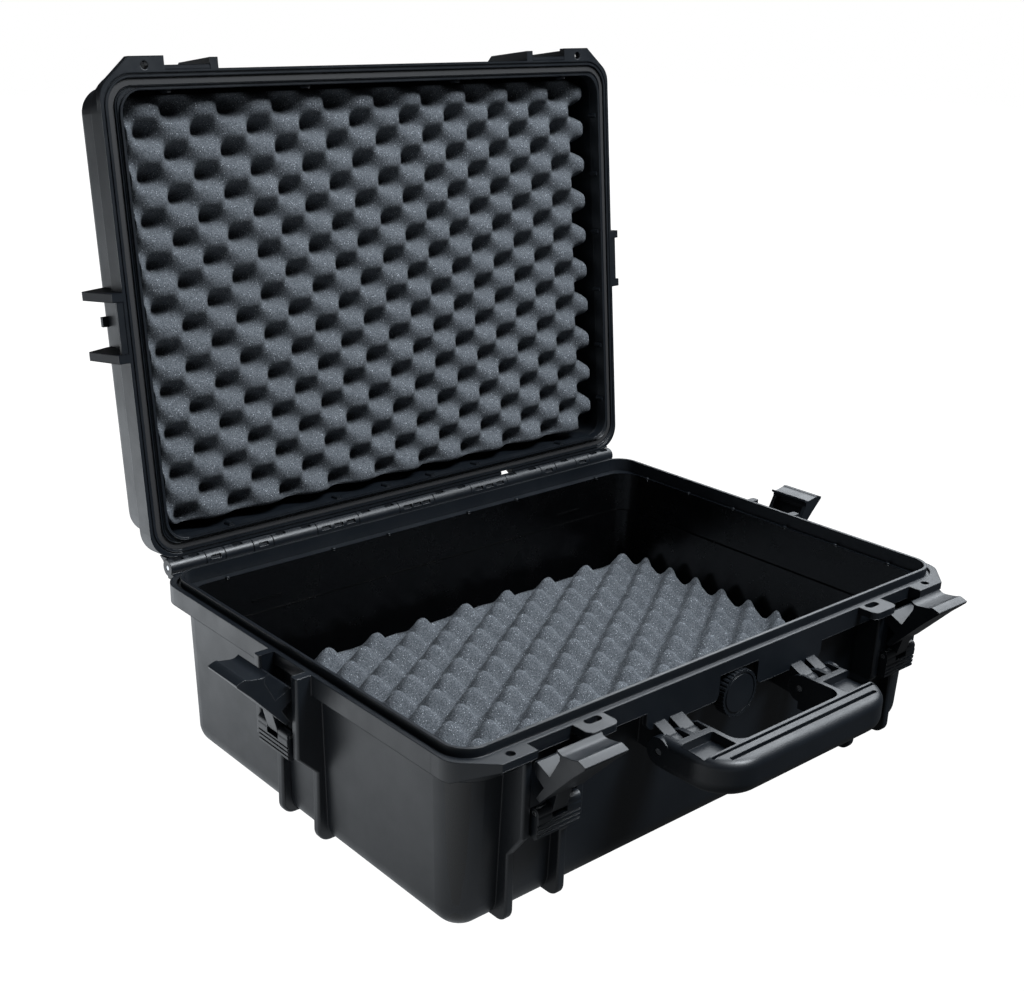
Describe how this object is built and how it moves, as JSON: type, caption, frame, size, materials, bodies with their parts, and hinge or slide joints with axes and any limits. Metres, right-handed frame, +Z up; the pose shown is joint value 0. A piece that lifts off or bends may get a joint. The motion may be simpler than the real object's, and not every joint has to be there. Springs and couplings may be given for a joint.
{
  "type": "hard equipment case",
  "caption": "Rigid plastic carry case with a hinged lid, over-centre latches, a fold-down handle, a pressure valve and convoluted foam in both halves.",
  "frame": {"origin": "middle of the underside of the base tub", "axes": "+X along the handle side to the right as seen from the handle, +Y from the handle side to the hinge side, +Z up"},
  "size_m": [0.6328, 0.5588, 0.5359],
  "materials": {
    "shell": "satin",
    "handle": "satin",
    "latch": "satin",
    "fitting": "satin",
    "rubber": "matte",
    "foam": "matte",
    "membrane": "matte",
    "steel": "satin"
  },
  "bodies": {
    "base": {"base_shell": "shell", "base_foam": "foam", "hinge_rod": "steel", "handle_pin_left": "steel", "handle_pin_right": "steel", "valve_body": "fitting", "valve_gasket": "rubber", "valve_membrane": "membrane", "valve_nut": "fitting", "lever_pin_front_left": "steel", "lever_pin_front_right": "steel", "lever_pin_side_left": "steel", "lever_pin_side_right": "steel"},
    "lid": {"lid_shell": "shell", "lid_seal": "rubber", "lid_foam": "foam"},
    "handle": {"handle": "handle"},
    "valve_knob": {"valve_knob": "fitting"},
    "lever_front_left": {"latch_lever_front_left": "latch", "claw_pin_front_left": "steel"},
    "claw_front_left": {"latch_claw_front_left": "latch"},
    "lever_front_right": {"latch_lever_front_right": "latch", "claw_pin_front_right": "steel"},
    "claw_front_right": {"latch_claw_front_right": "latch"},
    "lever_side_left": {"latch_lever_side_left": "latch", "claw_pin_side_left": "steel"},
    "claw_side_left": {"latch_claw_side_left": "latch"},
    "lever_side_right": {"latch_lever_side_right": "latch", "claw_pin_side_right": "steel"},
    "claw_side_right": {"latch_claw_side_right": "latch"}
  },
  "joints": [
    {"name": "lid_hinge", "type": "hinge", "parent": "base", "child": "lid", "pos_m": [0, 0.1955, 0.14475], "axis": [1, 0, 0], "range_deg": [0, 96.3]},
    {"name": "handle_swing", "type": "hinge", "parent": "base", "child": "handle", "pos_m": [0, -0.2, 0.1015], "axis": [1, 0, 0], "range_deg": [0, 85]},
    {"name": "valve_turn", "type": "hinge", "parent": "base", "child": "valve_knob", "pos_m": [0, -0.1855, 0.1118], "axis": [0, -1, 0], "range_deg": [0, 270]},
    {"name": "lever_front_left", "type": "hinge", "parent": "base", "child": "lever_front_left", "pos_m": [-0.1875, -0.189, 0.0818], "axis": [1, 0, 0], "range_deg": [0, 35]},
    {"name": "claw_front_left", "type": "hinge", "parent": "lever_front_left", "child": "claw_front_left", "pos_m": [-0.1875, -0.1965, 0.0938], "axis": [-1, 0, 0], "range_deg": [0, 25.5]},
    {"name": "lever_front_right", "type": "hinge", "parent": "base", "child": "lever_front_right", "pos_m": [0.1875, -0.189, 0.0818], "axis": [1, 0, 0], "range_deg": [0, 35]},
    {"name": "claw_front_right", "type": "hinge", "parent": "lever_front_right", "child": "claw_front_right", "pos_m": [0.1875, -0.1965, 0.0938], "axis": [-1, 0, 0], "range_deg": [0, 25.5]},
    {"name": "lever_side_left", "type": "hinge", "parent": "base", "child": "lever_side_left", "pos_m": [-0.266, 0, 0.0818], "axis": [0, -1, 0], "range_deg": [0, 35]},
    {"name": "claw_side_left", "type": "hinge", "parent": "lever_side_left", "child": "claw_side_left", "pos_m": [-0.2735, 0, 0.0938], "axis": [0, 1, 0], "range_deg": [0, 25.5]},
    {"name": "lever_side_right", "type": "hinge", "parent": "base", "child": "lever_side_right", "pos_m": [0.266, 0, 0.0818], "axis": [0, 1, 0], "range_deg": [0, 35]},
    {"name": "claw_side_right", "type": "hinge", "parent": "lever_side_right", "child": "claw_side_right", "pos_m": [0.2735, 0, 0.0938], "axis": [0, -1, 0], "range_deg": [0, 25.5]}
  ]
}
